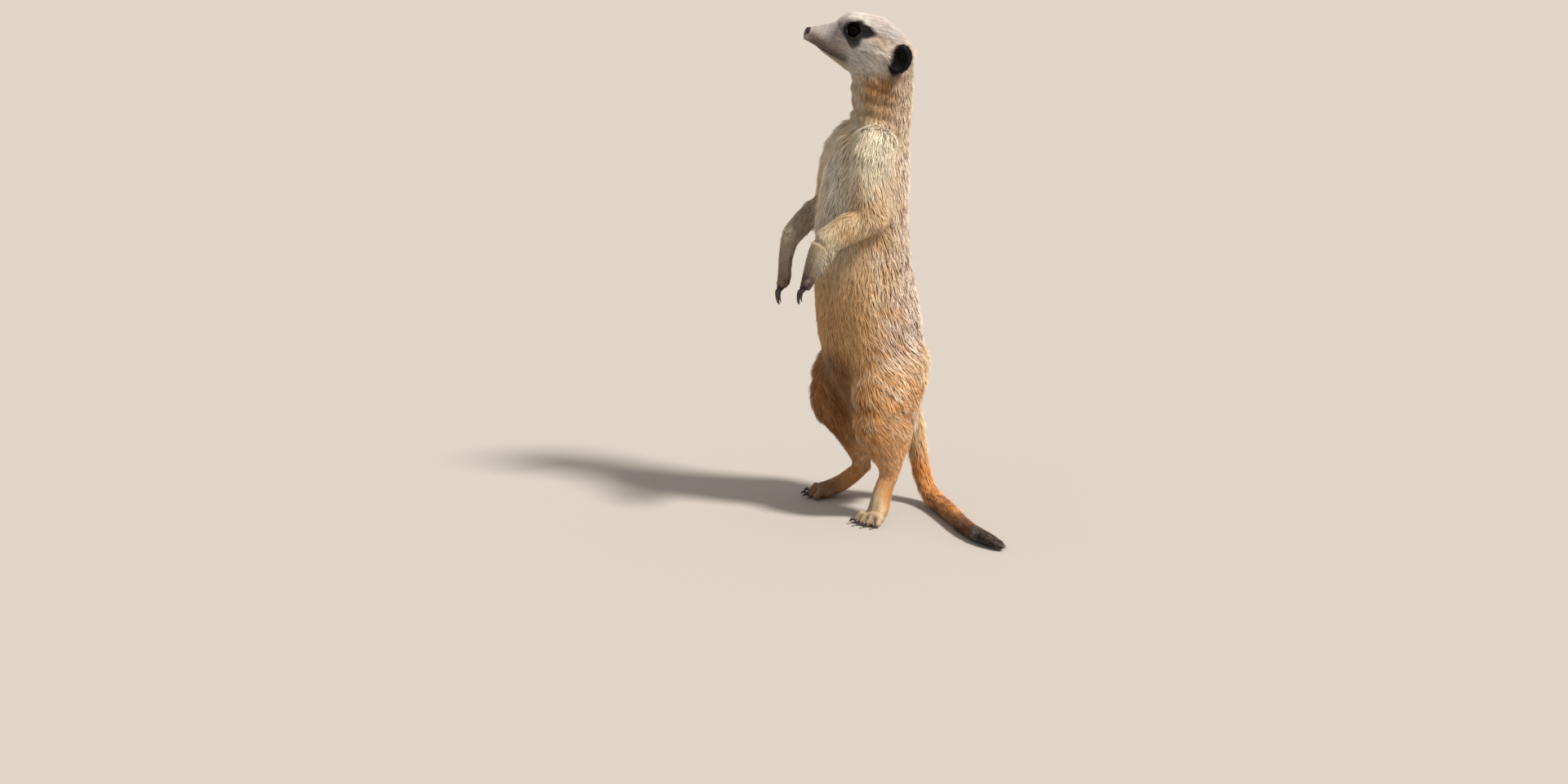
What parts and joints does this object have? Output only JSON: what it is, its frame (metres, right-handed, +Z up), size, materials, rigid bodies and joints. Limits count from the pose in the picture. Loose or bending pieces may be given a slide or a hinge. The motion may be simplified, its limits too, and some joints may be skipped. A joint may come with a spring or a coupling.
{
  "type": "meerkat",
  "caption": "Life-size meerkat standing guard: upright on its hind feet, forelegs hanging, head raised to one side, tail on the ground.",
  "frame": {"origin": "on the ground, under the middle of the model's box", "axes": "+Z up, the animal faces -Y, its own left side is +X"},
  "size_m": [0.178, 0.1036, 0.3149],
  "materials": {
    "grizzled_fur": "coarse grizzled coat",
    "tan_fur": "smooth tan coat",
    "cream_fur": "short pale coat",
    "orange_fur": "short orange-brown coat",
    "dark_fur": "short black-brown coat",
    "nose": "damp dark brown skin",
    "eye": "wet, black and glossy",
    "claw": "dark horn"
  },
  "bodies": {
    "root": {"trunk": "grizzled_fur", "neck": "tan_fur", "head": "cream_fur", "nose": "nose", "tail_base": "orange_fur", "tail_middle": "orange_fur", "tail_tip": "dark_fur", "eye_left": "eye", "ear_left": "dark_fur", "upper_arm_left": "tan_fur", "forearm_left": "tan_fur", "hand_left": "cream_fur", "thigh_left": "tan_fur", "shank_left": "orange_fur", "foot_left": "cream_fur", "claw_hand_left_1": "claw", "claw_hand_left_2": "claw", "claw_hand_left_3": "claw", "claw_hand_left_4": "claw", "claw_foot_left_1": "claw", "claw_foot_left_2": "claw", "claw_foot_left_3": "claw", "claw_foot_left_4": "claw", "eye_right": "eye", "ear_right": "dark_fur", "upper_arm_right": "tan_fur", "forearm_right": "tan_fur", "hand_right": "cream_fur", "thigh_right": "tan_fur", "shank_right": "orange_fur", "foot_right": "cream_fur", "claw_hand_right_1": "claw", "claw_hand_right_2": "claw", "claw_hand_right_3": "claw", "claw_hand_right_4": "claw", "claw_foot_right_1": "claw", "claw_foot_right_2": "claw", "claw_foot_right_3": "claw", "claw_foot_right_4": "claw"}
  },
  "joints": []
}
